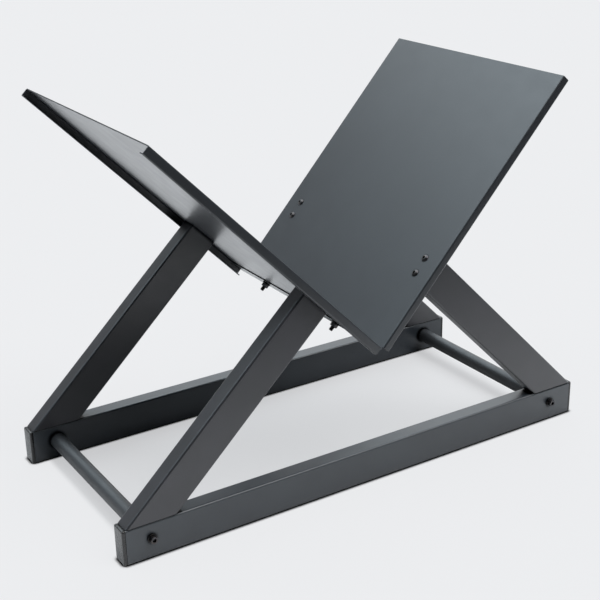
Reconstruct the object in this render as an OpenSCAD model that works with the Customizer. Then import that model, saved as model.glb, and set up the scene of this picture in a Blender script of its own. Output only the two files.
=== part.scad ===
// Firewood rack: a V of two folded steel panels on four tube legs and a bolted base frame
// Millimetres, +X along the rails, +Y to the rear, +Z up, origin on the floor under the middle

/* [Base frame] */
// Length over the plastic end caps
overall_l = 750; // [600:5:1000]
// Depth over the outer faces of the two rails
frame_d = 336; // [240:2:450]
// Height of the top edges of both panels above the floor
overall_h = 530; // [430:1:580]
// Height of the rectangular tube, used for the rails and the legs
tube_h = 50; // [40:1:60]
// Thickness of the rectangular tube
tube_t = 25; // [20:1:30]
// Wall of the rectangular tube
tube_wall = 1.5; // [1.2:0.1:2.5]
// Outer corner radius of the rectangular tube
tube_r = 3; // [2.6:0.1:4]

/* [Crossbars] */
// Outer diameter of the round crossbars
bar_d = 22; // [18:1:30]
// Wall of the round crossbars
bar_wall = 2; // [1.5:0.1:3]
// Distance from the left end of the rack to the axis of the left crossbar
left_bar_inset = 40; // [34:1:120]
// Distance from the right end of the rack to the axis of the right crossbar
right_bar_inset = 44; // [34:1:120]
// Height of the crossbar axes above the floor
bar_z = 28; // [18:0.5:30]
// Length of the threaded plug in each crossbar end
bar_plug_l = 22; // [18:1:40]

/* [Legs] */
// Slope of the two left legs above the floor, in degrees
left_leg_angle = 43.7; // [40:0.1:50]
// Slope of the two right legs above the floor, in degrees
right_leg_angle = 45; // [40:0.1:50]
// Thickness of the welded plate inside each leg top
leg_plate_t = 4; // [3:0.5:6]
// Distance between the two screws in each leg top
leg_screw_pitch = 24; // [18:1:28]

/* [V panels] */
// Slope of the left panel above the floor, in degrees
left_panel_angle = 45.6; // [42:0.1:50]
// Slope of the right panel above the floor, in degrees
right_panel_angle = 47.5; // [42:0.1:50]
// Height of the bottom of the V above the floor
apex_z = 205.5; // [170:0.5:260]
// Sideways place of the bottom of the V
apex_x = 6; // [-20:0.5:20]
// How far the panels reach past the outer face of each rail
panel_overhang = 17.5; // [13:0.5:40]
// Thickness of the sheet
sheet_t = 1.5; // [1:0.1:2.5]
// Inner radius of the folds in the sheet
fold_r = 1; // [0.5:0.1:2]
// Depth of the side lips, from the inner face of the panel
lip_d = 12.5; // [10:0.5:20]
// Width of the return that is folded inward along each lip
hem_w = 8; // [6:0.5:10]

/* [V joint] */
// Width of the flange that the right panel turns under the left panel
flange_w = 25; // [22:0.5:40]
// How far the flange stops inside the outer face of each lip
flange_set_in = 3; // [2.8:0.1:8]
// Distance from the bottom of the V to the lower edge of the left panel
left_edge_gap = 3; // [2.5:0.5:5]
// Distance from the bottom of the V to the lower end of the right panel's lips
right_lip_gap = 1.5; // [1.5:0.5:10]
// Distance up the left slope to the joint bolts
bolt_up = 14; // [13:0.5:16]
// Distance between the two joint bolts
bolt_pitch = 184; // [100:2:260]

/* [Fasteners] */
// Diameter of every screw and bolt
thread_d = 6; // [5:0.5:7]
// Length of the crossbar screws under the head
bar_screw_l = 40; // [34:1:44]
// Length of the screws in the leg tops under the head
leg_screw_l = 12; // [8:1:20]
// Length of the joint bolts under the head
joint_bolt_l = 16; // [13:1:25]
// Diameter of the socket cap heads
cap_head_d = 10; // [9:0.5:11]
// Height of the socket cap heads
cap_head_h = 6; // [5:0.5:7]
// Width across the flats of the socket in the cap heads
cap_key = 5; // [4:0.5:6]
// Diameter of the low round heads
button_d = 10.5; // [9:0.5:12]
// Height of the low round heads
button_h = 3.3; // [3:0.1:4]
// Width across the flats of the socket in the round heads
button_key = 4; // [3:0.5:5]
// Outer diameter of the washers
washer_d = 12; // [11:0.5:13]
// Thickness of the washers
washer_t = 1.6; // [1:0.1:2]
// Width across the flats of the nuts
nut_af = 10; // [9:0.5:12]
// Height of the nuts
nut_h = 5; // [4:0.5:6]

/* [End caps] */
// Thickness of the cap head outside the tube
cap_t = 5; // [3:0.5:8]
// Radius of the rounded edge of the cap head
cap_r = 2; // [0.5:0.1:2.5]
// Length of the cap inside the tube
cap_plug_l = 15; // [14:1:24]
// Height of the gripping ribs on the cap
cap_rib_h = 2; // [1:0.1:3]
// Thickness of the gripping ribs on the cap
cap_rib_t = 1.2; // [0.8:0.1:2]
// Wall of the hollow cap plug
cap_wall = 1.5; // [1:0.1:2.5]

/* [Clearances] */
// Gap round a screw in a drilled hole
hole_gap = 0.3; // [0.2:0.05:0.6]
// Gap round a screw in its thread
thread_gap = 0.1; // [0.05:0.05:0.2]
// Gap round a washer or nut bore
ring_gap = 0.2; // [0.1:0.05:0.4]
// Gap round a plug or plate in a tube
plug_gap = 0.1; // [0.05:0.05:0.3]

/* [Hidden] */

$fn = 48;
FRONT = -1;
REAR = 1;
LEFT = -1;
RIGHT = 1;

// straight pieces in each quarter turn of a fold
fold_steps = 5;
// how far a cutter reaches past what it cuts
cut_over = 10;
// gripping ribs on each cap
cap_ribs = 3;

tube_end = overall_l / 2 - cap_t;
rail_y = (frame_d - tube_t) / 2;
bar_l = frame_d - 2 * tube_t;
hole_d = thread_d + 2 * hole_gap;
thread_bore_d = thread_d + 2 * thread_gap;

panel_w = frame_d + 2 * panel_overhang;
fold_outer_r = fold_r + sheet_t;
v_angle = 180 - left_panel_angle - right_panel_angle;

steel_colour = "#474b4f";
fastener_colour = "#1d1e20";
plastic_colour = "#2a2a2b";
plug_colour = "#8d8f90";

// slopes of the leg and of the panel on one side
function leg_angle(side) = side == LEFT ? left_leg_angle : right_leg_angle;
function panel_angle(side) = side == LEFT ? left_panel_angle : right_panel_angle;

// distance from the middle of the rack to a crossbar
function bar_x(side) = overall_l / 2 - (side == LEFT ? left_bar_inset : right_bar_inset);

// distance up the slope of a panel to its top edge
function panel_l(side) = (overall_h - apex_z) / sin(panel_angle(side));

// length of the upper edge of a leg, from the rail to the underside of its panel
function leg_run(side) =
    let (s = panel_angle(side), reach = tube_end + side * -apex_x)
    (reach * sin(s) + (apex_z - tube_h) * cos(s) - sheet_t) / sin(s + leg_angle(side));

// distance up the slope to the middle of the leg top
function leg_up(side) =
    let (s = panel_angle(side), a = leg_angle(side), run = leg_run(side), reach = tube_end + side * -apex_x)
    (reach - run * cos(a)) * cos(s) + (tube_h - apex_z + run * sin(a)) * sin(s)
    - tube_h / 2 / sin(s + a);

// points along an arc
function arc(centre, r, from, to, steps) =
    [for (i = [0 : steps]) let (a = from + (to - from) * i / steps) centre + r * [cos(a), sin(a)]];

// corners of a rectangle with rounded corners
function round_rect(w, h, r) = [
    for (q = [0 : 3])
        let (turn = 90 * q, x = (q == 0 || q == 3) ? 1 : -1, y = q < 2 ? 1 : -1)
        each arc([x * (w / 2 - r), y * (h / 2 - r)], r, turn, turn + 90, fold_steps)
];

// section across a panel: the sheet, its two lips and their returns
function panel_section() =
    let (x = panel_w / 2 - fold_outer_r, top = -fold_outer_r, low = fold_outer_r - lip_d,
         tip = panel_w / 2 - hem_w)
    concat(
        [[tip, -lip_d]],
        arc([x, low], fold_outer_r, -90, 0, fold_steps),
        arc([x, top], fold_outer_r, 0, 90, fold_steps),
        arc([-x, top], fold_outer_r, 90, 180, fold_steps),
        arc([-x, low], fold_outer_r, 180, 270, fold_steps),
        [[-tip, -lip_d], [-tip, sheet_t - lip_d]],
        arc([-x, low], fold_r, 270, 180, fold_steps),
        arc([-x, top], fold_r, 180, 90, fold_steps),
        arc([x, top], fold_r, 90, 0, fold_steps),
        arc([x, low], fold_r, 0, -90, fold_steps),
        [[tip, sheet_t - lip_d]]
    );

// side view of the right panel's lower edge: straight sheet, bend and flange
function flange_section() =
    let (corner = [-sheet_t / sin(v_angle), 0],
         up = [cos(v_angle), sin(v_angle)],
         out = [-sin(v_angle), cos(v_angle)],
         centre = corner + fold_r / sin(v_angle / 2) * [cos(v_angle / 2), sin(v_angle / 2)],
         last = v_angle - 270)
    concat(
        [[right_lip_gap, -sheet_t]],
        arc(centre, fold_outer_r, -90, last, fold_steps),
        [corner + flange_w * up + sheet_t * out, corner + flange_w * up],
        arc(centre, fold_r, last, -90, fold_steps),
        [[right_lip_gap, 0]]
    );

// side view of a cap head, rounded where it faces out
function cap_profile(w) = concat(
    [[-cut_over, -w / 2]],
    arc([cap_t - cap_r, cap_r - w / 2], cap_r, -90, 0, fold_steps),
    arc([cap_t - cap_r, w / 2 - cap_r], cap_r, 0, 90, fold_steps),
    [[-cut_over, w / 2]]
);

// extrudes a section along X from one place to another
module along_x(from, to) {
    translate([from, 0, 0])
        rotate([90, 0, 90])
            linear_extrude(to - from)
                children();
}

// extrudes a side view along Y, centred on the middle of the rack
module along_y(width) {
    rotate([90, 0, 0])
        linear_extrude(width, center = true)
            children();
}

// puts X up the slope of a panel and Z square to it, with zero on its inner face
module on_slope(side) {
    translate([apex_x, 0, apex_z])
        rotate([0, -panel_angle(side), side == LEFT ? 180 : 0])
            children();
}

// puts X along the upper edge of a leg, from its outer foot corner, and Z across the leg
module on_leg(side, row) {
    translate([side * tube_end, row * rail_y, tube_h])
        rotate([0, -leg_angle(side), side == LEFT ? 0 : 180])
            children();
}

// section of the rectangular tube, solid, smaller all round by inset
module tube_core(inset) {
    polygon(round_rect(tube_t - 2 * inset, tube_h - 2 * inset, tube_r - inset));
}

module tube_section() {
    difference() {
        tube_core(0);
        tube_core(tube_wall);
    }
}

// places of the crossbar screws on the outer faces of the rails, with Z pointing outward
module at_bar_ends(sides) {
    for (side = sides)
        for (row = [FRONT, REAR])
            translate([side * bar_x(side), row * frame_d / 2, bar_z])
                rotate([row * -90, 0, 0])
                    children();
}

// places of the screws in the leg tops of one side, on the inner face of the panel
// on the left slope +Y points to the front, so the row changes sign there
module at_leg_screws(side, rows) {
    on_slope(side)
        for (row = rows)
            for (step = [-0.5, 0.5])
                translate([leg_up(side) + step * leg_screw_pitch, row * side * rail_y, 0])
                    children();
}

// places of the joint bolts, on the inner face of the left panel
module at_joint_bolts() {
    on_slope(LEFT)
        for (step = [-0.5, 0.5])
            translate([bolt_up, step * bolt_pitch, 0])
                children();
}

// round cutter through something that stands on zero and is h high
module bore(d, h) {
    translate([0, 0, -cut_over])
        cylinder(d = d, h = h + 2 * cut_over);
}

// a hole through both sheets at the panel face
module sheet_hole() {
    translate([0, 0, -lip_d / 2])
        cylinder(d = hole_d, h = lip_d);
}

// hexagonal cutter that reaches down from zero
module hex_socket(width, depth) {
    translate([0, 0, -depth])
        cylinder(d = width / cos(30), h = depth + cut_over, $fn = 6);
}

// screw with a low round head, head upward and seat at zero
module button_screw(length) {
    ball_r = (pow(button_d / 2, 2) + pow(button_h, 2)) / (2 * button_h);
    difference() {
        union() {
            intersection() {
                translate([0, 0, button_h - ball_r])
                    sphere(r = ball_r);
                cylinder(d = 2 * button_d, h = 2 * button_h);
            }
            translate([0, 0, -length])
                cylinder(d = thread_d, h = length);
        }
        translate([0, 0, button_h])
            hex_socket(button_key, button_h / 2);
    }
}

// screw with a tall cylindrical head, head upward and seat at zero
module cap_screw(length) {
    difference() {
        union() {
            cylinder(d = cap_head_d, h = cap_head_h);
            translate([0, 0, -length])
                cylinder(d = thread_d, h = length);
        }
        translate([0, 0, cap_head_h])
            hex_socket(cap_key, cap_head_h / 2);
    }
}

// washer lying below zero
module washer() {
    translate([0, 0, -washer_t])
        difference() {
            cylinder(d = washer_d, h = washer_t);
            bore(thread_d + 2 * ring_gap, washer_t);
        }
}

// hexagonal nut lying below zero, with its corners turned off
module nut() {
    corner_r = nut_af / 2 / cos(30);
    bevel = corner_r - nut_af / 2;
    translate([0, 0, -nut_h])
        difference() {
            intersection() {
                cylinder(r = corner_r, h = nut_h, $fn = 6);
                rotate_extrude()
                    polygon([
                        [0, 0], [corner_r - bevel, 0], [corner_r, bevel],
                        [corner_r, nut_h - bevel], [corner_r - bevel, nut_h], [0, nut_h]
                    ]);
            }
            bore(thread_bore_d, nut_h);
        }
}

// rail with the two screw holes through it
module rail(row) {
    color(steel_colour)
        difference() {
            translate([0, row * rail_y, tube_h / 2])
                along_x(-tube_end, tube_end)
                    tube_section();
            at_bar_ends([LEFT, RIGHT])
                translate([0, 0, -tube_t])
                    bore(hole_d, tube_t);
        }
}

// leg blank of a given section, cut flat on the rail and along the underside of the panel
module cut_leg(side, row) {
    difference() {
        on_leg(side, row)
            translate([0, 0, -tube_h / 2])
                along_x(-cut_over, leg_run(side) + tube_h)
                    children();
        translate([-overall_l, -frame_d, -tube_h])
            cube([2 * overall_l, 2 * frame_d, 2 * tube_h]);
        on_slope(side)
            translate([-overall_l, -frame_d, -sheet_t])
                cube([2 * overall_l, 2 * frame_d, overall_l]);
    }
}

module leg(side, row) {
    color(steel_colour)
        cut_leg(side, row)
            tube_section();
}

// plate welded inside the leg top, with two threaded holes
module leg_plate(side, row) {
    color(plug_colour)
        difference() {
            cut_leg(side, row)
                tube_core(tube_wall + plug_gap);
            on_slope(side)
                translate([-overall_l, -frame_d, -sheet_t - leg_plate_t - overall_l])
                    cube([2 * overall_l, 2 * frame_d, overall_l]);
            at_leg_screws(side, [row])
                translate([0, 0, -leg_screw_l - leg_plate_t])
                    cylinder(d = thread_bore_d, h = leg_screw_l + leg_plate_t);
        }
}

module left_panel() {
    color(steel_colour)
        difference() {
            on_slope(LEFT)
                along_x(left_edge_gap, panel_l(LEFT))
                    polygon(panel_section());
            at_leg_screws(LEFT, [FRONT, REAR])
                sheet_hole();
            at_joint_bolts()
                sheet_hole();
        }
}

module right_panel() {
    color(steel_colour)
        difference() {
            on_slope(RIGHT) {
                along_x(right_lip_gap, panel_l(RIGHT))
                    polygon(panel_section());
                along_y(panel_w - 2 * flange_set_in)
                    polygon(flange_section());
            }
            at_leg_screws(RIGHT, [FRONT, REAR])
                sheet_hole();
            at_joint_bolts()
                sheet_hole();
        }
}

// round tube between the inner faces of the rails
module crossbar(side) {
    color(steel_colour)
        translate([side * bar_x(side), 0, bar_z])
            rotate([90, 0, 0])
                difference() {
                    cylinder(d = bar_d, h = bar_l, center = true);
                    cylinder(d = bar_d - 2 * bar_wall, h = bar_l + cut_over, center = true);
                }
}

// threaded plugs in both ends of one crossbar
module crossbar_inserts(side) {
    color(plug_colour)
        at_bar_ends([side])
            translate([0, 0, -tube_t - bar_plug_l])
                difference() {
                    cylinder(d = bar_d - 2 * bar_wall - 2 * plug_gap, h = bar_plug_l);
                    bore(thread_bore_d, bar_plug_l);
                }
}

// plastic plug for the end of a rail, with ribs that grip the tube
module end_cap(side, row) {
    core_inset = tube_wall + cap_rib_h;
    rib_step = cap_plug_l / cap_ribs;
    color(plastic_colour)
        translate([side * tube_end, row * rail_y, tube_h / 2])
            rotate([0, 0, side == LEFT ? 180 : 0]) {
                intersection() {
                    along_x(0, cap_t)
                        tube_core(0);
                    along_y(tube_t + cut_over)
                        polygon(cap_profile(tube_h));
                    linear_extrude(tube_h + cut_over, center = true)
                        polygon(cap_profile(tube_t));
                }
                difference() {
                    union() {
                        along_x(-cap_plug_l, 0)
                            square([tube_t - 2 * core_inset, tube_h - 2 * core_inset], center = true);
                        for (i = [1 : cap_ribs])
                            along_x(-i * rib_step + cap_rib_t, -i * rib_step + 2 * cap_rib_t)
                                tube_core(tube_wall + plug_gap);
                    }
                    along_x(-cap_plug_l - cut_over, 0)
                        square([tube_t - 2 * (core_inset + cap_wall), tube_h - 2 * (core_inset + cap_wall)],
                               center = true);
                }
            }
}

module crossbar_screws() {
    color(fastener_colour)
        at_bar_ends([LEFT, RIGHT])
            translate([0, 0, washer_t])
                cap_screw(bar_screw_l);
}

module crossbar_washers() {
    color(fastener_colour)
        at_bar_ends([LEFT, RIGHT])
            translate([0, 0, washer_t])
                washer();
}

module panel_screws() {
    color(fastener_colour)
        for (side = [LEFT, RIGHT])
            at_leg_screws(side, [FRONT, REAR])
                button_screw(leg_screw_l);
}

module joint_bolts() {
    color(fastener_colour)
        at_joint_bolts()
            button_screw(joint_bolt_l);
}

module joint_washers() {
    color(fastener_colour)
        at_joint_bolts()
            translate([0, 0, -2 * sheet_t])
                washer();
}

module joint_nuts() {
    color(fastener_colour)
        at_joint_bolts()
            translate([0, 0, -2 * sheet_t - washer_t])
                nut();
}

rail(FRONT);  // front_rail
rail(REAR);  // rear_rail
crossbar(LEFT);  // left_crossbar
crossbar(RIGHT);  // right_crossbar
leg(LEFT, FRONT);  // front_left_leg
leg(LEFT, REAR);  // rear_left_leg
leg(RIGHT, FRONT);  // front_right_leg
leg(RIGHT, REAR);  // rear_right_leg
left_panel();
right_panel();
leg_plate(LEFT, FRONT);  // front_left_leg_plate
leg_plate(LEFT, REAR);  // rear_left_leg_plate
leg_plate(RIGHT, FRONT);  // front_right_leg_plate
leg_plate(RIGHT, REAR);  // rear_right_leg_plate
end_cap(LEFT, FRONT);  // front_left_cap
end_cap(RIGHT, FRONT);  // front_right_cap
end_cap(LEFT, REAR);  // rear_left_cap
end_cap(RIGHT, REAR);  // rear_right_cap
crossbar_inserts(LEFT);  // left_crossbar_inserts
crossbar_inserts(RIGHT);  // right_crossbar_inserts
crossbar_screws();
crossbar_washers();
panel_screws();
joint_bolts();
joint_washers();
joint_nuts();
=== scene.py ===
# Firewood rack in a plain pale studio: finishes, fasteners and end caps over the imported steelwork
import math

import bmesh
import bpy
from mathutils import Matrix, Vector


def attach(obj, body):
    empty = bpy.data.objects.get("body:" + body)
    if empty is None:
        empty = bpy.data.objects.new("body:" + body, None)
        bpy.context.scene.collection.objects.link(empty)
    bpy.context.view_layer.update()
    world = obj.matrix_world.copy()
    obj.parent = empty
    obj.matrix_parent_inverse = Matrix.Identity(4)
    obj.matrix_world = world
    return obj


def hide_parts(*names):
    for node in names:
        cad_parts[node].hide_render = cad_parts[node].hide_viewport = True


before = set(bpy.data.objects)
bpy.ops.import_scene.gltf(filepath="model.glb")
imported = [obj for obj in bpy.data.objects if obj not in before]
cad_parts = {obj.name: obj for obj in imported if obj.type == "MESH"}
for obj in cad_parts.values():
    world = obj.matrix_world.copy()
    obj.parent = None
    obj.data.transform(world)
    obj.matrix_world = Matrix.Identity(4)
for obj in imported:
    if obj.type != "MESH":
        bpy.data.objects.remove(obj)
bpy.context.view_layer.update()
mm = 0.001
print("steelwork loaded,", len(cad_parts), "nodes")

scene = bpy.context.scene
scene.view_settings.view_transform = "Standard"


# Camera, at the photo's place and angle
photoCamera = {
    "place": (-865.0, -1374.5, 866.8),  # mm
    "turn": 32.016,           # degrees from straight ahead along +Y towards +X
    "tilt": -21.857,          # degrees, below level
    "roll": -1.144,           # degrees
    "lens": 73.265,           # mm
    "sensor": 36,             # mm wide
    "reach": 50,              # metres that it sees
}


def placeCamera(look):
    turn, tilt, roll = (math.radians(look[key]) for key in ("turn", "tilt", "roll"))
    forward = Vector((math.sin(turn) * math.cos(tilt), math.cos(turn) * math.cos(tilt),
                      math.sin(tilt)))
    right = Vector((math.cos(turn), -math.sin(turn), 0))
    up = right.cross(forward)
    rolledRight = right * math.cos(roll) + up * math.sin(roll)
    rolledUp = up * math.cos(roll) - right * math.sin(roll)
    lens = bpy.data.cameras.new("photo camera")
    lens.lens = look["lens"]
    lens.sensor_width = look["sensor"]
    lens.clip_end = look["reach"]
    camera = bpy.data.objects.new("photo camera", lens)
    axes = Matrix((rolledRight, rolledUp, -forward)).transposed().to_4x4()
    camera.matrix_world = Matrix.Translation(Vector(look["place"]) * mm) @ axes
    scene.collection.objects.link(camera)
    scene.camera = camera


placeCamera(photoCamera)
print("camera placed")


# Small helpers for node trees
def toLinear(hexColour, level=1.0):
    channels = [int(hexColour[i:i + 2], 16) / 255 for i in (1, 3, 5)]
    linear = [c / 12.92 if c <= 0.04045 else ((c + 0.055) / 1.055) ** 2.4 for c in channels]
    return tuple(c * level for c in linear) + (1.0,)


# Settings are a node's properties or the values of its inputs, and links are what feeds its inputs.
# On a Mix node, inputs 2 and 3 are its values, 6 and 7 its colours, and output 2 is its colour.
def addNode(tree, kind, settings=None, links=None):
    node = tree.nodes.new(kind)
    for key, value in (settings or {}).items():
        if isinstance(value, str) and value.startswith("#"):
            value = toLinear(value)
        if isinstance(key, str) and hasattr(node, key):
            setattr(node, key, value)
        else:
            node.inputs[key].default_value = value
    for key, source in (links or {}).items():
        if isinstance(source, bpy.types.Node):
            source = source.outputs[0]
        tree.links.new(source, node.inputs[key])
    return node


def emptyTree(owner):         # of a material or the world
    owner.use_nodes = True
    owner.node_tree.nodes.clear()
    return owner.node_tree


# What all finishes share
layering = {
    "edgeRange": (0.99, 0.86),    # cosines of the turn at an edge, from untouched to rubbed
    "edgeRays": 6,
    "jointRange": (0.97, 0.7),    # shares of open space round a spot, from no painted shade to full
    "jointRays": 8,
    "weldFade": 1.0,              # mm above a weld over which the rubbing sets in
    "stray": 0.4,                 # how far the rows of cutting marks wander
    "bump": 0.5,
}


def rubbedEdges(tree, look, place, patches):  # 1 on the edges that are rubbed, in patches
    untouched, rubbed = layering["edgeRange"]
    rounded = addNode(tree, "ShaderNodeBevel",
                      {"samples": layering["edgeRays"], "Radius": look["edge"] * mm})
    flat = addNode(tree, "ShaderNodeNewGeometry")
    alike = addNode(tree, "ShaderNodeVectorMath", {"operation": "DOT_PRODUCT"},
                    {0: rounded, 1: flat.outputs["Normal"]})
    corner = addNode(tree, "ShaderNodeMapRange", {"From Min": untouched, "From Max": rubbed},
                     {"Value": alike.outputs["Value"]})
    worn = addNode(tree, "ShaderNodeMath", {"operation": "MULTIPLY"}, {0: corner, 1: patches})
    if "foot" in look:        # nothing rubs the edge that is welded to the rail
        start, end = look["foot"] * mm, (look["foot"] + layering["weldFade"]) * mm
        axes = addNode(tree, "ShaderNodeSeparateXYZ", links={0: place})
        above = addNode(tree, "ShaderNodeMapRange", {"From Min": start, "From Max": end},
                        {"Value": axes.outputs["Z"]})
        worn = addNode(tree, "ShaderNodeMath", {"operation": "MULTIPLY"}, {0: worn, 1: above})
    return worn


def paintedJointShade(tree, look, place):          # painted shade: 1 deep in a joint or crease, 0 in the open
    clean, dark = layering["jointRange"]
    room = addNode(tree, "ShaderNodeAmbientOcclusion",
                   {"samples": layering["jointRays"], "Distance": look["joint"] * mm})
    paintedShade = addNode(tree, "ShaderNodeMapRange", {"From Min": clean, "From Max": dark},
                     {"Value": room.outputs["AO"]})
    if "nearFloor" in look:   # the floor's nearness gets no painted shade in this band
        low, high = look["nearFloor"]
        middle, reach = (low + high) / 2 * mm, (high - low) / 2 * mm
        axes = addNode(tree, "ShaderNodeSeparateXYZ", links={0: place})
        band = addNode(tree, "ShaderNodeMath", {"operation": "COMPARE", 1: middle, 2: reach},
                       {0: axes.outputs["Z"]})
        coated = addNode(tree, "ShaderNodeMath", {"operation": "SUBTRACT", 0: 1.0}, {1: band})
        paintedShade = addNode(tree, "ShaderNodeMath", {"operation": "MULTIPLY"}, {0: paintedShade, 1: coated})
    return paintedShade


# Every finish: clouded colour, pigment speckle, rubbed edges, painted shade in joints, uneven
# gloss, a skin.
# Each layer of grain is the size of its lumps in mm, its detail, and the part of its range in use.
def mixFinish(name, look):
    material = bpy.data.materials.new(name)
    tree = emptyTree(material)
    place = addNode(tree, "ShaderNodeTexCoord").outputs["Object"]
    grain = {}
    for layer, (size, detail, low, high) in look["grain"].items():
        lumps = addNode(tree, "ShaderNodeTexNoise", {"Scale": 1 / (size * mm), "Detail": detail},
                        {"Vector": place})
        grain[layer] = addNode(tree, "ShaderNodeMapRange", {"From Min": low, "From Max": high},
                               {"Value": lumps})
    clouded = addNode(tree, "ShaderNodeMix",
                      {"data_type": "RGBA", 6: look["colour"], 7: look["cloud"]},
                      {"Factor": grain["cloud"]})
    speckle = addNode(tree, "ShaderNodeMath", {"operation": "MULTIPLY", 1: look["speckle"]},
                      {0: grain["speck"]})
    worn = rubbedEdges(tree, look, place, grain["wear"])
    paintedShade = paintedJointShade(tree, look, place)
    colour = clouded.outputs[2]
    # the last tint is painted shade in the joints
    for tint, share in (("pigment", speckle), ("rubbed", worn), ("paintedShadeColour", paintedShade)):
        colour = addNode(tree, "ShaderNodeMix", {"data_type": "RGBA", 7: look[tint]},
                         {"Factor": share, 6: colour}).outputs[2]
    glossy, dull = look["roughness"]
    gloss = addNode(tree, "ShaderNodeMapRange", {"To Min": glossy, "To Max": dull},
                    {"Value": grain["gloss"]})
    if "marks" in look:       # cutting marks in rows, instead of a grain
        rows = 2 * math.pi / (20 * look["feed"] * mm)  # they are 2 pi / 20 apart at scale 1
        skin = addNode(tree, "ShaderNodeTexWave",
                       {"bands_direction": look["marks"], "Scale": rows,
                        "Distortion": layering["stray"], "Detail": 1.0},
                       {"Vector": place}).outputs["Fac"]
    else:
        skin = grain["skin"]
    relief = addNode(tree, "ShaderNodeBump",
                     {"Strength": layering["bump"], "Distance": look["relief"] * mm},
                     {"Height": skin})
    feeds = {"Base Color": colour, "Roughness": gloss, "Normal": relief}
    # where shade is painted, Metallic with the dark colour takes the sheen away too
    if look.get("shadeDullsSheen"):
        feeds["Metallic"] = paintedShade
    surface = addNode(tree, "ShaderNodeBsdfPrincipled", look["shader"], feeds)
    addNode(tree, "ShaderNodeOutputMaterial", links={"Surface": surface})
    return material


# Polyester powder coat, sprayed and baked on steel: satin sheen, fine orange peel, thin on edges
railCoat = {
    "colour": "#343a41",
    "cloud": "#394047",       # where the coat lies thicker
    "pigment": "#272a2c",
    "speckle": 0.35,
    "rubbed": "#454a4e",      # thin on the edges
    "paintedShadeColour": "#111314",      # painted shade in joints and creases
    # painted shade also takes the sheen out of the joints, through Metallic and the dark colour
    "shadeDullsSheen": True,
    "nearFloor": (1.0, 8.0),  # mm above the floor where no joint shade is painted
    "edge": 1.0,              # mm
    "joint": 6.0,             # mm, how far the painted joint shade looks for cover
    "roughness": (0.31, 0.38),
    "relief": 0.04,           # mm
    "shader": {"IOR": 1.6},
    "grain": {
        "cloud": (60, 3, 0.35, 0.65),
        "speck": (1.2, 1, 0.3, 0.7),
        "wear": (9, 3, 0.42, 0.62),
        "gloss": (22, 4, 0.3, 0.7),
        "skin": (1.6, 1.5, 0.0, 1.0),  # real orange peel is about 1 mm and would not show
    },
}

# The same coat on drawn tube, which takes it less evenly: duller, and a darker colour that is
# painted shade
barCoat = dict(railCoat, colour="#2b2f33", cloud="#2f3338", roughness=(0.46, 0.54))

# The same coat on the legs: clouds drawn out, and nothing rubbed at the weld, as high as foot says
legCoat = dict(railCoat, colour="#343539", cloud="#39393f", foot=51.0,
               grain=dict(railCoat["grain"], cloud=(75, 3, 0.35, 0.65)))

# The same coat on flat sheet: the widest clouds and the most even sheen
panelCoat = dict(railCoat, colour="#32353a", cloud="#363a3f", edge=0.7, joint=2.0,
                 roughness=(0.31, 0.35), grain=dict(railCoat["grain"], cloud=(120, 3, 0.35, 0.65)))

# Low-density polyethylene, injection moulded: waxy grey-black, fine spark-eroded skin, scuffed rim
capPlastic = {
    "colour": "#222223",
    "cloud": "#292929",       # flow marks
    "pigment": "#1a1a1a",
    "speckle": 0.25,
    "rubbed": "#262626",
    # painted shade in the joints round the cap
    "paintedShadeColour": "#0a0a0a",
    "edge": 0.8,
    "joint": 3.0,
    "roughness": (0.24, 0.32),
    "relief": 0.02,
    "shader": {"Metallic": 0.0, "IOR": 1.51},
    "grain": {
        "cloud": (14, 2, 0.45, 0.8),
        "speck": (1.5, 1, 0.3, 0.7),
        "wear": (4, 4, 0.5, 0.65),
        "gloss": (7, 3, 0.3, 0.7),
        "skin": (0.9, 2, 0.0, 1.0),    # the real texture is about 0.2 mm and would not show
    },
}

# Carbon steel, cold headed and blackened in hot salts: oily near-black, brown-grey where rubbed
blackenedSteel = {
    "colour": "#4a4a4e",
    "cloud": "#57504a",       # brownish patches of the oxide
    "pigment": "#2b2b2e",
    "speckle": 0.3,
    "rubbed": "#8a8781",      # bare metal on the corners
    # painted shade round the heads, washers and nuts
    "paintedShadeColour": "#050505",
    "edge": 0.3,
    "joint": 2.5,
    "roughness": (0.28, 0.45),
    "relief": 0.01,
    "shader": {"Metallic": 0.9},
    "grain": {
        "cloud": (2.5, 3, 0.45, 0.7),
        "speck": (0.8, 2, 0.3, 0.7),
        "wear": (1.2, 2, 0.45, 0.75),
        "gloss": (1.6, 3, 0.3, 0.7),
        "skin": (0.5, 2, 0.0, 1.0),
    },
}

# Free-cutting steel, turned on a lathe: bright grey with fine rings round the bar axis
turnedBar = {
    "colour": "#9d9d9b",
    "cloud": "#7b776f",       # film of cutting oil
    "pigment": "#8a8a88",
    "speckle": 0.3,
    "rubbed": "#b4b4b2",
    # painted shade in the joints round the inserts
    "paintedShadeColour": "#4a4844",
    "edge": 0.3,
    "joint": 1.5,
    "marks": "Y",
    "feed": 0.5,              # mm per turn
    "roughness": (0.26, 0.40),
    "relief": 0.015,
    "shader": {"Metallic": 1.0},
    "grain": {
        "cloud": (3, 4, 0.52, 0.7),
        "speck": (0.8, 2, 0.3, 0.7),
        "wear": (1.5, 2, 0.4, 0.7),
        "gloss": (2, 3, 0.3, 0.7),
    },
}

# Structural steel plate, hot rolled and sawn: blue-grey scale, brown freckles, slanting saw marks
rolledPlate = dict(turnedBar, colour="#6c6e72", cloud="#5a4a3f", pigment="#55575a",
                   # paintedShadeColour: painted shade in the joints round the plates
                   rubbed="#8c8c8a", paintedShadeColour="#2c2826", marks="DIAGONAL", feed=0.9,
                   roughness=(0.45, 0.62))

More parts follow.
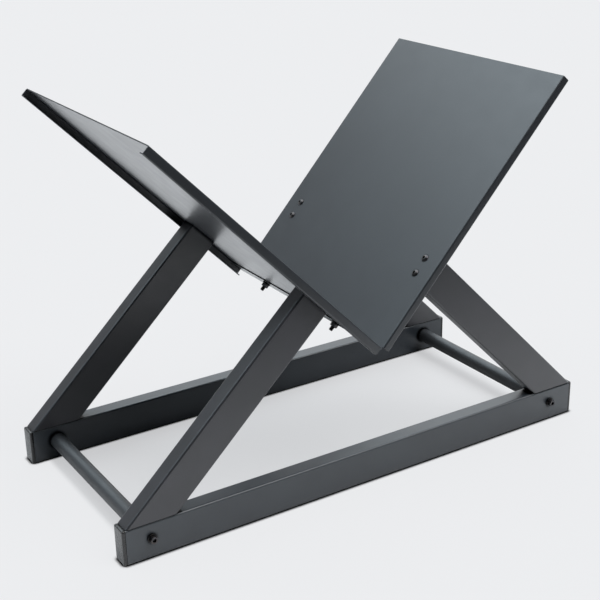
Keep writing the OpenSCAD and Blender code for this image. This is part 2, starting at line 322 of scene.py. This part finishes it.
railFinish = mixFinish("powder coat, rails", railCoat)
barFinish = mixFinish("powder coat, crossbars", barCoat)
legFinish = mixFinish("powder coat, legs", legCoat)
panelFinish = mixFinish("powder coat, panels", panelCoat)
capFinish = mixFinish("moulded polyethylene, black", capPlastic)
fastenerFinish = mixFinish("black oxide steel", blackenedSteel)
insertFinish = mixFinish("turned steel", turnedBar)
plateFinish = mixFinish("hot rolled plate", rolledPlate)
print("finishes mixed")


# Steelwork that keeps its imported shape: edges get the small radius that sheared, coated steel has
steelEdges = {
    "rail": {"radius": 0.45, "steps": 2},     # mm, after coating
    "bar": {"radius": 0.25, "steps": 2},
    "leg": {"radius": 0.7, "steps": 2},       # ground off round before welding
    "panel": {"radius": 0.3, "steps": 2},
    "plate": {"radius": 0.2, "steps": 1},
}
edgeWork = {
    "seam": 0.01,             # mm, corners closer than this are joined
    "flat": 1,                # degrees, faces that turn less than this become one
    "sharp": 32,              # degrees, edges that turn more than this get the radius
    "faceWeight": 100,        # how much the large faces rule the shading
}


def dressSteel(names, finish, look):
    for name in names:
        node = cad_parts[name]
        if not node.material_slots:
            node.data.materials.append(finish)
        for place in node.material_slots:
            place.material = finish
        seams = node.modifiers.new("join seams", "WELD")
        seams.merge_threshold = edgeWork["seam"] * mm
        flats = node.modifiers.new("clear flats", "DECIMATE")
        flats.decimate_type = "DISSOLVE"
        flats.angle_limit = math.radians(edgeWork["flat"])
        edges = node.modifiers.new("edge radius", "BEVEL")
        edges.width = look["radius"] * mm
        edges.segments = look["steps"]
        edges.limit_method = "ANGLE"
        edges.angle_limit = math.radians(edgeWork["sharp"])
        shading = node.modifiers.new("even shading", "WEIGHTED_NORMAL")
        shading.keep_sharp = False
        shading.weight = edgeWork["faceWeight"]
        for face in node.data.polygons:
            face.use_smooth = True


legs = ["front_left_leg", "rear_left_leg", "front_right_leg", "rear_right_leg"]
dressSteel(["front_rail", "rear_rail"], railFinish, steelEdges["rail"])
dressSteel(["left_crossbar", "right_crossbar"], barFinish, steelEdges["bar"])
dressSteel(legs, legFinish, steelEdges["leg"])
dressSteel(["left_panel", "right_panel"], panelFinish, steelEdges["panel"])
dressSteel([leg + "_plate" for leg in legs], plateFinish, steelEdges["plate"])
dressSteel(["left_crossbar_inserts", "right_crossbar_inserts"], insertFinish, steelEdges["plate"])
print("steelwork dressed")


# Places that the fasteners and caps need, in mm, as the steelwork has them
rack = {
    "railEnd": 370.0,         # end of each rail tube, from the middle
    "railLine": 155.5,        # middle of each rail, from the middle of the rack
    "railFace": 168.0,        # outer face of each rail
    "tubeHigh": 50.0,
    "tubeThick": 25.0,
    "tubeWall": 1.5,
    "tubeRadius": 3.0,
    "crossbar": {-1: 335.0, 1: 331.0},  # crossbar axes, left and right, from the middle
    "crossbarHigh": 28.0,
    "valley": (6.0, 0.0, 205.5),  # bottom of the V
    "sheet": 1.5,
    "slope": {-1: 45.6, 1: 47.5},   # panels, left and right, degrees
    "lean": {-1: 43.7, 1: 45.0},    # legs, left and right, degrees
    "legScrews": 12.0,        # panel screws, each side of the middle of a leg top
    "jointUp": 14.0,          # joint bolts, up the left panel from the bottom of the V
    "jointSide": 92.0,        # the same, each side of the middle
}


def onSlope(side):  # X goes up the panel, Z stands square on it, zero on its inner face
    turn = Matrix.Rotation(math.pi if side < 0 else 0.0, 4, "Z")
    rise = Matrix.Rotation(-math.radians(rack["slope"][side]), 4, "Y")
    return Matrix.Translation(rack["valley"]) @ turn @ rise


def legTop(side):  # distance up the panel to the middle of a leg top
    slope, lean = math.radians(rack["slope"][side]), math.radians(rack["lean"][side])
    reach = rack["railEnd"] - side * rack["valley"][0]
    drop = rack["valley"][2] - rack["tubeHigh"]
    across = math.sin(slope + lean)
    run = (reach * math.sin(slope) + drop * math.cos(slope) - rack["sheet"]) / across
    along, up = reach - run * math.cos(lean), run * math.sin(lean) - drop
    outerEdge = along * math.cos(slope) + up * math.sin(slope)
    return outerEdge - rack["tubeHigh"] / 2 / across


# Shapes from loops of points, every loop with as many
def joinLoops(mesh, loops):
    for near, far in zip(loops, loops[1:]):
        for i in range(len(near)):
            after = (i + 1) % len(near)
            mesh.faces.new((near[i], near[after], far[after], far[i]))


def closeLoop(mesh, loop):  # fan to a middle point, so that round ends shade evenly
    middle = mesh.verts.new(sum((v.co for v in loop), Vector()) / len(loop))
    for i, corner in enumerate(loop):
        mesh.faces.new((corner, loop[(i + 1) % len(loop)], middle))


# Each ring is a height and a radius in mm, or a radius that depends on the angle
def turnShape(mesh, place, rings, steps=48):
    loops = []
    for height, radius in rings:
        loop = []
        for i in range(steps):
            angle = 2 * math.pi * i / steps
            reach = radius(angle) if callable(radius) else radius
            point = place @ Vector((reach * math.cos(angle), reach * math.sin(angle), height))
            loop.append(mesh.verts.new(point * mm))
        loops.append(loop)
    joinLoops(mesh, loops)
    return loops


def acrossCorners(flats):  # radius at the corners of a hexagon
    return flats / 2 / math.cos(math.pi / 6)


def hexagon(flats):  # radius of a hexagon with corners at the angles of 0, 60, 120 degrees
    return lambda angle: flats / 2 / math.cos(angle % (math.pi / 3) - math.pi / 6)


def makePiece(name, mesh, finish, nodes, smoothBelow=35):
    bmesh.ops.recalc_face_normals(mesh, faces=mesh.faces)
    data = bpy.data.meshes.new(name)
    mesh.to_mesh(data)
    mesh.free()
    data.shade_smooth()
    data.set_sharp_from_angle(angle=math.radians(smoothBelow))
    data.materials.append(finish)
    piece = bpy.data.objects.new(name, data)
    scene.collection.objects.link(piece)
    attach(piece, "root")
    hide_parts(*nodes)


def makeFasteners(name, shape, look, places, nodes, smoothBelow=35):
    mesh = bmesh.new()
    for place in places:
        shape(mesh, place, look)
    makePiece(name, mesh, fastenerFinish, nodes, smoothBelow)


# Threads: rings that wander in and out once per turn, tapered at the tip
screwThread = {
    "thread": 6.0,            # mm over the crests
    "pitch": 1.0,
    "depth": 0.55,
    "tipIn": 0.75,            # how much smaller the radius is at the tip
    "taper": 0.9,             # how much it grows per mm from there
    "ringsPerTurn": 8,
}


def threadRings(look, start, end):
    rings = []
    crest = look["thread"] / 2
    count = int(abs(end - start) / look["pitch"] * look["ringsPerTurn"])
    for i in range(count + 1):
        height = start + (end - start) * i / count
        left = abs(end - height)

        def radius(angle, height=height, left=left):
            phase = (height / look["pitch"] - angle / (2 * math.pi)) % 1
            tooth = 1 - abs(2 * phase - 1)
            outer = crest - look["depth"] * (1 - tooth)
            return min(outer, crest - look["tipIn"] + left * look["taper"])

        rings.append((height, radius))
    return rings[::-1]        # tip first


# Hexagon sockets, from the top down: a turned mouth, straight flats, the cone of the drill
socketForm = {
    "mouth": 0.1,             # mm, how far the mouth reaches past the corners
    "chamfer": (0.12, 0.08),  # on its way down: how deep, and how far out from the flats
    "flatsFrom": 0.3,         # how deep the full hexagon starts
    "drillIn": 0.25,          # how much smaller than the hexagon the drilled hole is
    "drillDown": 0.1,         # how far below the hexagon it starts
    "point": (0.7, 0.6),      # how far below the hexagon it ends, and its radius there
}


def socketRings(look, top):
    key = hexagon(look["key"])
    corner = acrossCorners(look["key"])
    chamferDown, chamferOut = socketForm["chamfer"]
    pointDown, pointRadius = socketForm["point"]
    bottom = top - look["socketDeep"]
    return [(top, corner + socketForm["mouth"]),
            (top - chamferDown, lambda angle: min(corner, key(angle) + chamferOut)),
            (top - socketForm["flatsFrom"], key),
            (bottom, key),
            (bottom - socketForm["drillDown"], look["key"] / 2 - socketForm["drillIn"]),
            (bottom - pointDown, pointRadius)]


# Socket cap screws that hold the crossbars, one through each rail end
crossbarScrew = dict(
    screwThread,
    long=40.0,                # mm
    threadFrom=8.0,           # how far below the head the thread starts
    shank=((-7.0, 0.05), (-0.3, 0.05), (0.0, -0.3)),   # heights, and how far inside the crests
    head=10.0,
    headHigh=6.0,
    foot=((0.0, 0.45), (0.35, 0.12)),     # rounded foot of the head: heights, and how far in
    knurled=(0.8, 0.85),      # from this far above the foot to this far below the top
    knurl=0.09,               # how far the knurled ridges stand in and out
    ridges=24,
    crown=((0.55, 0.1), (0.2, 0.2), (0.05, 0.35), (0.0, 0.55)),  # rounded top: how far down and in
    key=5.0,
    socketDeep=3.0,
)


def capScrew(mesh, place, look):
    top, radius, crest = look["headHigh"], look["head"] / 2, look["thread"] / 2
    knurlFrom, knurlTo = look["knurled"]

    def ridged(angle):
        return radius - look["knurl"] + look["knurl"] * math.cos(angle * look["ridges"])

    rings = threadRings(look, -look["threadFrom"], -look["long"])
    rings += [(height, crest - inset) for height, inset in look["shank"]]
    rings += [(height, radius - inset) for height, inset in look["foot"]]
    rings += [(knurlFrom, ridged), (top - knurlTo, ridged)]
    rings += [(top - down, radius - inset) for down, inset in look["crown"]]
    loops = turnShape(mesh, place, rings + socketRings(look, top))
    closeLoop(mesh, loops[0])
    closeLoop(mesh, loops[-1])


def crossbarPlaces(out):
    for side in (-1, 1):
        for row in (-1, 1):
            spot = Vector((side * rack["crossbar"][side], row * (rack["railFace"] + out),
                           rack["crossbarHigh"]))
            yield Matrix.Translation(spot) @ Matrix.Rotation(math.radians(-90 * row), 4, "X")


# Low round heads: the screws into the leg tops and the bolts at the bottom of the V
panelScrew = dict(
    screwThread,
    long=12.0,                # mm
    plain=2.0,                # plain shank under the head
    runOut=0.5,               # from the shank to the thread
    shankIn=0.05,             # how far the shank is inside the crests
    fillet=(-0.02, 0.2),      # under the head: height of its foot, and how far it spreads
    head=10.5,
    headHigh=3.3,
    rim=((0.0, 0.25), (0.12, 0.04), (0.4, 0.02)),  # heights, and how far inside the head
    domeRings=8,
    key=4.0,
    socketDeep=1.65,
)
jointBolt = dict(panelScrew, long=16.0, plain=3.0)


def buttonScrew(mesh, place, look):
    top, radius, crest = look["headHigh"], look["head"] / 2, look["thread"] / 2
    ball = (radius ** 2 + top ** 2) / (2 * top)  # radius of the domed top
    filletFoot, filletOut = look["fillet"]
    rings = threadRings(look, -look["plain"] - look["runOut"], -look["long"])
    rings += [(-look["plain"], crest - look["shankIn"]), (filletFoot, crest - look["shankIn"]),
              (0.0, crest + filletOut)]
    rings += [(height, radius - inset) for height, inset in look["rim"]]
    rimTop = look["rim"][-1][0]
    for i in range(1, look["domeRings"]):
        height = rimTop + (top - rimTop) * i / look["domeRings"]
        rings.append((height, math.sqrt(ball ** 2 - (height + ball - top) ** 2)))
    mouth = acrossCorners(look["key"]) + socketForm["mouth"]
    mouthDown = ball - math.sqrt(ball ** 2 - mouth ** 2)
    loops = turnShape(mesh, place, rings + socketRings(look, top - mouthDown))
    closeLoop(mesh, loops[0])
    closeLoop(mesh, loops[-1])


def legScrewPlaces():
    for side in (-1, 1):
        for row in (-1, 1):
            for step in (-rack["legScrews"], rack["legScrews"]):
                spot = Vector((legTop(side) + step, row * side * rack["railLine"], 0))
                yield onSlope(side) @ Matrix.Translation(spot)


def jointPlaces(down=0.0):
    for step in (-rack["jointSide"], rack["jointSide"]):
        yield onSlope(-1) @ Matrix.Translation((rack["jointUp"], step, -down))


# Washers, punched: one edge rolled over, the other sharp
plainWasher = {
    "outer": 12.0,            # mm
    "bore": 6.4,
    "thick": 1.6,
    "sharp": 0.1,
    "rolled": ((0.35, 0.0), (0.12, 0.1), (0.0, 0.35)),  # how far down and in
    "boreEdge": 0.2,
}


def washerRing(mesh, place, look):  # lies below zero
    outer, bore, thick = look["outer"] / 2, look["bore"] / 2, look["thick"]
    sharp, boreEdge = look["sharp"], look["boreEdge"]
    rings = [(-thick, bore), (-thick, outer - sharp), (-thick + sharp, outer)]
    rings += [(-down, outer - inset) for down, inset in look["rolled"]]
    rings += [(0.0, bore + boreEdge), (-boreEdge, bore)]
    loops = turnShape(mesh, place, rings)
    joinLoops(mesh, [loops[-1], loops[0]])


# Hexagon nuts: corners turned off on both faces, bore chamfered
hexNut = {
    "flats": 10.0,            # mm
    "high": 5.0,
    "bore": 6.2,
    "boreEdge": 0.45,
    "faceIn": 0.25,           # how far the round face is inside the flats
    "coneDown": (0.12, 0.25, 0.4, 0.55, 0.7),  # rings of the cone that takes the corners off
    "coneAngle": 32,          # degrees from the face
}


def nutShape(mesh, place, look):  # lies below zero
    flat = hexagon(look["flats"])
    face = look["flats"] / 2 - look["faceIn"]
    high, bore, boreEdge = look["high"], look["bore"] / 2, look["boreEdge"]
    upper = []
    for down in look["coneDown"]:
        cone = face + down / math.tan(math.radians(look["coneAngle"]))
        upper.append((-down, lambda angle, cone=cone: min(flat(angle), cone)))
    lower = [(-height - high, radius) for height, radius in reversed(upper)]
    rings = [(0.0, bore + boreEdge), (0.0, face)] + upper + lower
    rings += [(-high, face), (-high, bore + boreEdge), (-high + boreEdge, bore), (-boreEdge, bore)]
    loops = turnShape(mesh, place, rings)
    joinLoops(mesh, [loops[-1], loops[0]])


washer = plainWasher["thick"]
sheets = 2 * rack["sheet"]    # the joint bolts go through both panels
makeFasteners("crossbar_cap_screws", capScrew, crossbarScrew, crossbarPlaces(washer),
              ["crossbar_screws"])
makeFasteners("leg_top_screws", buttonScrew, panelScrew, legScrewPlaces(), ["panel_screws"])
makeFasteners("valley_bolts", buttonScrew, jointBolt, jointPlaces(), ["joint_bolts"])
makeFasteners("crossbar_screw_washers", washerRing, plainWasher, crossbarPlaces(washer),
              ["crossbar_washers"])
makeFasteners("valley_washers", washerRing, plainWasher, jointPlaces(sheets), ["joint_washers"])
makeFasteners("valley_nuts", nutShape, hexNut, jointPlaces(sheets + washer), ["joint_nuts"],
              smoothBelow=28)
print("fasteners made")


# End caps: a flat flange as large as the tube, a softly domed face, and a ribbed plug inside
endCap = {
    "flange": 5.0,            # mm outside the tube
    "rim": 2.0,               # radius of the outer edge
    "rimSteps": 6,
    "dome": 0.25,             # how far the middle stands proud of the rim
    "domeRings": (0.85, 0.6, 0.3),
    "back": ((0.9, 0.0), (0.6, 0.12), (0.25, 0.35), (0.05, 0.6), (0.0, 1.0)),  # edge at the tube
    "corner": 0.6,            # smallest corner radius of a section
    "plug": 15.0,             # length inside the tube
    "play": 0.1,              # between the ribs and the tube
    "ribs": 3,
    "ribHigh": 1.9,
    "ribThick": 1.2,
    "ribCrown": ((0.2, 0.25), (0.6, 0.0), (1.2, 0.15)),  # how far behind its front, and how far in
    "tipIn": 0.2,             # how far in the end of the plug is
    "wall": 1.5,
    "hollowTo": 1.0,          # how far inside the tube the hollow ends
}


def roundedBox(wide, high, radius, perCorner=8):  # outline of a tube section, counter-clockwise
    points = []
    for quarter, (x, y) in enumerate(((1, 1), (-1, 1), (-1, -1), (1, -1))):
        for i in range(perCorner + 1):
            angle = math.radians(90 * quarter + 90 * i / perCorner)
            points.append((x * (wide / 2 - radius) + radius * math.cos(angle),
                           y * (high / 2 - radius) + radius * math.sin(angle)))
    return points


def capLoop(mesh, place, look, along, inset, share=1.0):  # inset from the outside of the tube
    radius = max(rack["tubeRadius"] - inset, look["corner"])
    outline = roundedBox(rack["tubeThick"] - 2 * inset, rack["tubeHigh"] - 2 * inset, radius)
    points = [place @ Vector((along, y * share, z * share)) for y, z in outline]
    return [mesh.verts.new(point * mm) for point in points]


def capShape(mesh, place, look):
    fit = rack["tubeWall"] + look["play"]
    core = fit + look["ribHigh"]
    inner = core + look["wall"]
    rim, top = look["rim"], look["flange"] - look["dome"]
    sections = []             # distance along the tube, and inset
    for i in range(look["rimSteps"] + 1):  # rounded edge, from the face back to the side
        angle = math.radians(90 - 90 * i / look["rimSteps"])
        sections.append((top - rim + rim * math.sin(angle), rim * (1 - math.cos(angle))))
    sections += look["back"]
    sections.append((0.0, core))
    step = look["plug"] / look["ribs"]
    for i in range(1, look["ribs"] + 1):
        front = -i * step + 2 * look["ribThick"]
        sections.append((front, core))
        sections += [(front - behind, fit + inset) for behind, inset in look["ribCrown"]]
        sections.append((front - look["ribThick"], core))
    sections += [(-look["plug"], core + look["tipIn"]), (-look["plug"], inner),
                 (-look["hollowTo"], inner)]
    loops = [capLoop(mesh, place, look, along, inset) for along, inset in sections]
    joinLoops(mesh, loops)
    closeLoop(mesh, loops[-1])
    edge = loops[0]           # domed face in rings towards the middle
    for share in look["domeRings"]:
        rise = look["dome"] * (1 - share ** 2)
        ring = capLoop(mesh, place, look, top + rise, rim, share)
        joinLoops(mesh, [ring, edge])
        edge = ring
    closeLoop(mesh, edge)


for name, side, row in (("front_left_cap", -1, -1), ("front_right_cap", 1, -1),
                        ("rear_left_cap", -1, 1), ("rear_right_cap", 1, 1)):
    spot = Vector((side * rack["railEnd"], row * rack["railLine"], rack["tubeHigh"] / 2))
    turn = Matrix.Rotation(math.pi if side < 0 else 0.0, 4, "Z")
    mesh = bmesh.new()
    capShape(mesh, Matrix.Translation(spot) @ turn, endCap)
    makePiece(name + "_moulded", mesh, capFinish, [name], smoothBelow=40)
print("end caps made")


# Pale studio: paper on the floor and behind, a cool soft box above the back, a dark room in front.
# Heights in the world are sines of the angle above level, and places on the floor are in metres.
studio = {
    "backdrop": "#edeef0",
    "floor": 8.0,             # half the width of the floor
    "halfLong": 0.346,        # half the length of the rack's base
    "halfDeep": 0.165,
    "fade": 0.008,            # how softly the edge of the base fades
    "shade": 0.38,            # share of the floor's paleness that full shadow takes in the base
    "shadeOutside": 0.08,     # the same, outside the base
    "contact": 7.0,           # mm, how far the painted contact shadow under the rails reaches
    "contactRange": (0.9, 0.6),     # shares of open space there, from no painted shadow to full
    "contactRays": 8,
    # colour of the painted contact shadow
    "paintedShadowColour": "#1c1d1f",
    "fibre": 6.0,             # mm, lumps in the paper
    "fibreRange": (0.3, 0.7),
    "fibreUneven": 0.005,
    "bounce": "#a8a8a8",      # colour of the light that the floor throws back
    "mirroredRight": 0.44,    # right end of the painted shade on the floor as the rear rail mirrors it
    "paperEnds": (-0.9, -0.32),     # front of the lit paper as the steel mirrors it
    "paperFront": 0.1,        # how bright the floor in front of it looks in the steel, 1 for white
    "paperLevel": 1.8,        # how bright the lit paper looks there: painted light, above white
    "paperBehind": 0.88,      # share of that behind the rack
    "behind": (0.1, 0.2),     # where that starts
    "paperInside": 0.45,      # share of that between the rails: painted shade, seen only in the steel
    "gap": "#959595",         # dim wall between the top of the paper and the soft box
    "gapRise": (0.10, 0.22),  # heights between which it starts
    "softBox": "#e0f4ff",
    "softBoxLevel": 2.85,
    "softBoxRise": (0.52, 0.63),
    "room": "#000000",        # in front of the paper, where the camera stands
    "roomStart": (0.12, -0.12),     # between these, from the back to the front
    "ceiling": "#ffffff",
    "ceilingLevel": 1.1,
    "ceilingRise": (0.87, 0.94),
    "spill": 0.3,             # how much of all that also lights matt surfaces
}
lamps = {                     # direction that the light comes from, watts per square metre, degrees
    "key lamp": {"from": (0.396, -0.472, 0.788), "strength": 1.8, "width": 45},
    "top lamp": {"from": (0.0, 0.0, 1.0), "strength": 1.1, "width": 60},
    "back lamp": {"from": (0.0, 0.616, 0.788), "strength": 0.5, "width": 45},
    "side lamp": {"from": (0.656, 0.656, 0.375), "strength": 0.5, "width": 45},
}


def seenDirectly(tree):       # light path, and 1 for what the camera sees itself
    path = addNode(tree, "ShaderNodeLightPath")
    seen = addNode(tree, "ShaderNodeMath", {"operation": "MAXIMUM"},
                   {0: path.outputs["Is Camera Ray"], 1: path.outputs["Is Transmission Ray"]})
    return path, seen


def studioWorld(look):
    world = bpy.data.worlds.new("studio backdrop")
    scene.world = world
    tree = emptyTree(world)
    path, seen = seenDirectly(tree)
    sight = addNode(tree, "ShaderNodeTexCoord")
    axes = addNode(tree, "ShaderNodeSeparateXYZ", links={0: sight.outputs["Generated"]})
    layers = [                # from the floor up, each one over the last
        ("Z", look["gapRise"], toLinear(look["gap"])),
        ("Z", look["softBoxRise"], toLinear(look["softBox"], look["softBoxLevel"])),
        ("Y", look["roomStart"], toLinear(look["room"])),
        ("Z", look["ceilingRise"], toLinear(look["ceiling"], look["ceilingLevel"])),
    ]
    below = {}                # the first one lies over the plain backdrop
    for axis, (start, end), colour in layers:
        share = addNode(tree, "ShaderNodeMapRange", {"From Min": start, "From Max": end},
                        {"Value": axes.outputs[axis]})
        sky = addNode(tree, "ShaderNodeMix", {"data_type": "RGBA", 6: look["backdrop"], 7: colour},
                      {"Factor": share, **below}).outputs[2]
        below = {6: sky}
    level = addNode(tree, "ShaderNodeMix", {2: look["spill"], 3: 1.0},
                    {"Factor": path.outputs["Is Glossy Ray"]})
    light = addNode(tree, "ShaderNodeBackground", links={"Color": sky, "Strength": level})
    pale = addNode(tree, "ShaderNodeBackground", {"Color": look["backdrop"], "Strength": 1.0})
    both = addNode(tree, "ShaderNodeMixShader", links={0: seen, 1: light, 2: pale})
    addNode(tree, "ShaderNodeOutputWorld", links={"Surface": both})


def insideBase(tree, axes, look, rightEnd):  # 1 on the floor between the rails, fading to 0 outside
    fade = look["fade"]
    sides = (("X", -look["halfLong"], -fade), ("X", rightEnd, fade),
             ("Y", -look["halfDeep"], -fade), ("Y", look["halfDeep"], fade))
    within = [addNode(tree, "ShaderNodeMapRange", {"From Min": end + out, "From Max": end},
                      {"Value": axes.outputs[axis]}) for axis, end, out in sides]
    inside = within[0]
    for side in within[1:]:
        inside = addNode(tree, "ShaderNodeMath", {"operation": "MULTIPLY"}, {0: inside, 1: side})
    return inside


def studioPaper(look, lit):
    material = bpy.data.materials.new("pale studio paper")
    tree = emptyTree(material)
    path, seen = seenDirectly(tree)
    place = addNode(tree, "ShaderNodeTexCoord").outputs["Object"]
    axes = addNode(tree, "ShaderNodeSeparateXYZ", links={0: place})
    backdrop = toLinear(look["backdrop"])

    # As the camera sees it: the share of its paleness that the lamps give, and shadows take
    inside = insideBase(tree, axes, look, look["halfLong"])
    shade = addNode(tree, "ShaderNodeMix", {2: look["shadeOutside"], 3: look["shade"]},
                    {"Factor": inside})

    # As the steel mirrors it: painted light, brighter than white near the rack, and painted shade
    # between the rails
    farEnd, nearEnd = look["paperEnds"]
    mirrored = addNode(tree, "ShaderNodeMapRange",
                       {"From Min": farEnd, "From Max": nearEnd,
                        "To Min": look["paperFront"], "To Max": look["paperLevel"]},
                       {"Value": axes.outputs["Y"]})
    start, end = look["behind"]
    behind = addNode(tree, "ShaderNodeMapRange",
                     {"From Min": start, "From Max": end,
                      "To Min": 1.0, "To Max": look["paperBehind"]},
                     {"Value": axes.outputs["Y"]})
    insideMirrored = insideBase(tree, axes, look, look["mirroredRight"])
    dimmed = addNode(tree, "ShaderNodeMix", {2: 1.0, 3: look["paperInside"]},
                     {"Factor": insideMirrored})
    lower = addNode(tree, "ShaderNodeMath", {"operation": "MULTIPLY"}, {0: mirrored, 1: behind})
    inSteel = addNode(tree, "ShaderNodeMath", {"operation": "MULTIPLY"}, {0: lower, 1: dimmed})
    share = addNode(tree, "ShaderNodeMix", links={"Factor": seen, 2: inSteel, 3: shade})

    # Slightly uneven paper, at its full paleness where nothing shades it, however strong the lamps
    thin, thick = look["fibreRange"]
    fibre = addNode(tree, "ShaderNodeTexNoise", {"Scale": 1 / (look["fibre"] * mm), "Detail": 3.0},
                    {"Vector": place})
    even = addNode(tree, "ShaderNodeMapRange",
                   {"From Min": thin, "From Max": thick, "To Min": (1 - look["fibreUneven"]) / lit,
                    "To Max": (1 + look["fibreUneven"]) / lit}, {"Value": fibre})
    level = addNode(tree, "ShaderNodeMath", {"operation": "MULTIPLY"}, {0: share, 1: even})
    paper = addNode(tree, "ShaderNodeVectorMath", {"operation": "SCALE", 0: backdrop[:3]},
                    {"Scale": level})
    shaded = addNode(tree, "ShaderNodeBsdfDiffuse", links={"Color": paper})
    unshaded = addNode(tree, "ShaderNodeMath", {"operation": "SUBTRACT", 0: 1.0}, {1: shade})
    rest = addNode(tree, "ShaderNodeMath", {"operation": "MULTIPLY"}, {0: unshaded, 1: seen})
    glow = addNode(tree, "ShaderNodeEmission", {"Color": backdrop}, {"Strength": rest})
    pale = addNode(tree, "ShaderNodeAddShader", links={0: shaded, 1: glow})

    # Painted contact shadow: a dark line where the rails stand
    none, full = look["contactRange"]
    room = addNode(tree, "ShaderNodeAmbientOcclusion",
                   {"samples": look["contactRays"], "Distance": look["contact"] * mm})
    covered = addNode(tree, "ShaderNodeMapRange", {"From Min": none, "From Max": full},
                      {"Value": room.outputs["AO"]})
    underRail = addNode(tree, "ShaderNodeMath", {"operation": "MULTIPLY"}, {0: covered, 1: seen})
    # the painted shadow, mixed in where the floor is covered
    dark = addNode(tree, "ShaderNodeBsdfDiffuse", {"Color": look["paintedShadowColour"]})
    grounded = addNode(tree, "ShaderNodeMixShader", links={0: underRail, 1: pale, 2: dark})

    # Plain grey for the light that it throws back, and clear from below
    plain = addNode(tree, "ShaderNodeBsdfDiffuse", {"Color": look["bounce"]})
    thrown = addNode(tree, "ShaderNodeMixShader",
                     links={0: path.outputs["Is Diffuse Ray"], 1: grounded, 2: plain})
    sides = addNode(tree, "ShaderNodeNewGeometry")
    clear = addNode(tree, "ShaderNodeBsdfTransparent")
    oneSided = addNode(tree, "ShaderNodeMixShader",
                       links={0: sides.outputs["Backfacing"], 1: thrown, 2: clear})
    addNode(tree, "ShaderNodeOutputMaterial", links={"Surface": oneSided})
    material.cycles.emission_sampling = "NONE"
    return material


def studioFloor(look, lit):
    half = look["floor"]
    mesh = bmesh.new()
    corners = ((-half, -half, 0), (half, -half, 0), (half, half, 0), (-half, half, 0))
    mesh.faces.new([mesh.verts.new(corner) for corner in corners])
    data = bpy.data.meshes.new("studio_floor")
    mesh.to_mesh(data)
    mesh.free()
    data.materials.append(studioPaper(look, lit))
    floor = bpy.data.objects.new("studio_floor", data)
    scene.collection.objects.link(floor)


def skyOnFloor(look):         # how brightly the world alone lights the floor, 1 for white
    boxStart = (sum(look["softBoxRise"]) / 2) ** 2  # what lies below a height lights by its square
    ceilingStart = (sum(look["ceilingRise"]) / 2) ** 2
    gap = toLinear(look["gap"])[1]
    softBox = toLinear(look["softBox"], look["softBoxLevel"])[1]
    back = (gap * boxStart + softBox * (ceilingStart - boxStart)) / 2  # the front half is dark
    return look["spill"] * (back + look["ceilingLevel"] * (1 - ceilingStart))


def studioLamps(looks):
    lit = skyOnFloor(studio)
    for name, look in looks.items():
        sun = bpy.data.lights.new(name, "SUN")
        sun.energy = look["strength"]
        sun.angle = math.radians(look["width"])
        lamp = bpy.data.objects.new(name, sun)
        away = Vector(look["from"]).normalized()
        lamp.rotation_euler = away.to_track_quat("Z", "Y").to_euler()
        scene.collection.objects.link(lamp)
        lit += look["strength"] * away.z / math.pi
    return lit                # how brightly white paper on the floor is lit, 1 for white


studioWorld(studio)
studioFloor(studio, studioLamps(lamps))
print("studio lit")
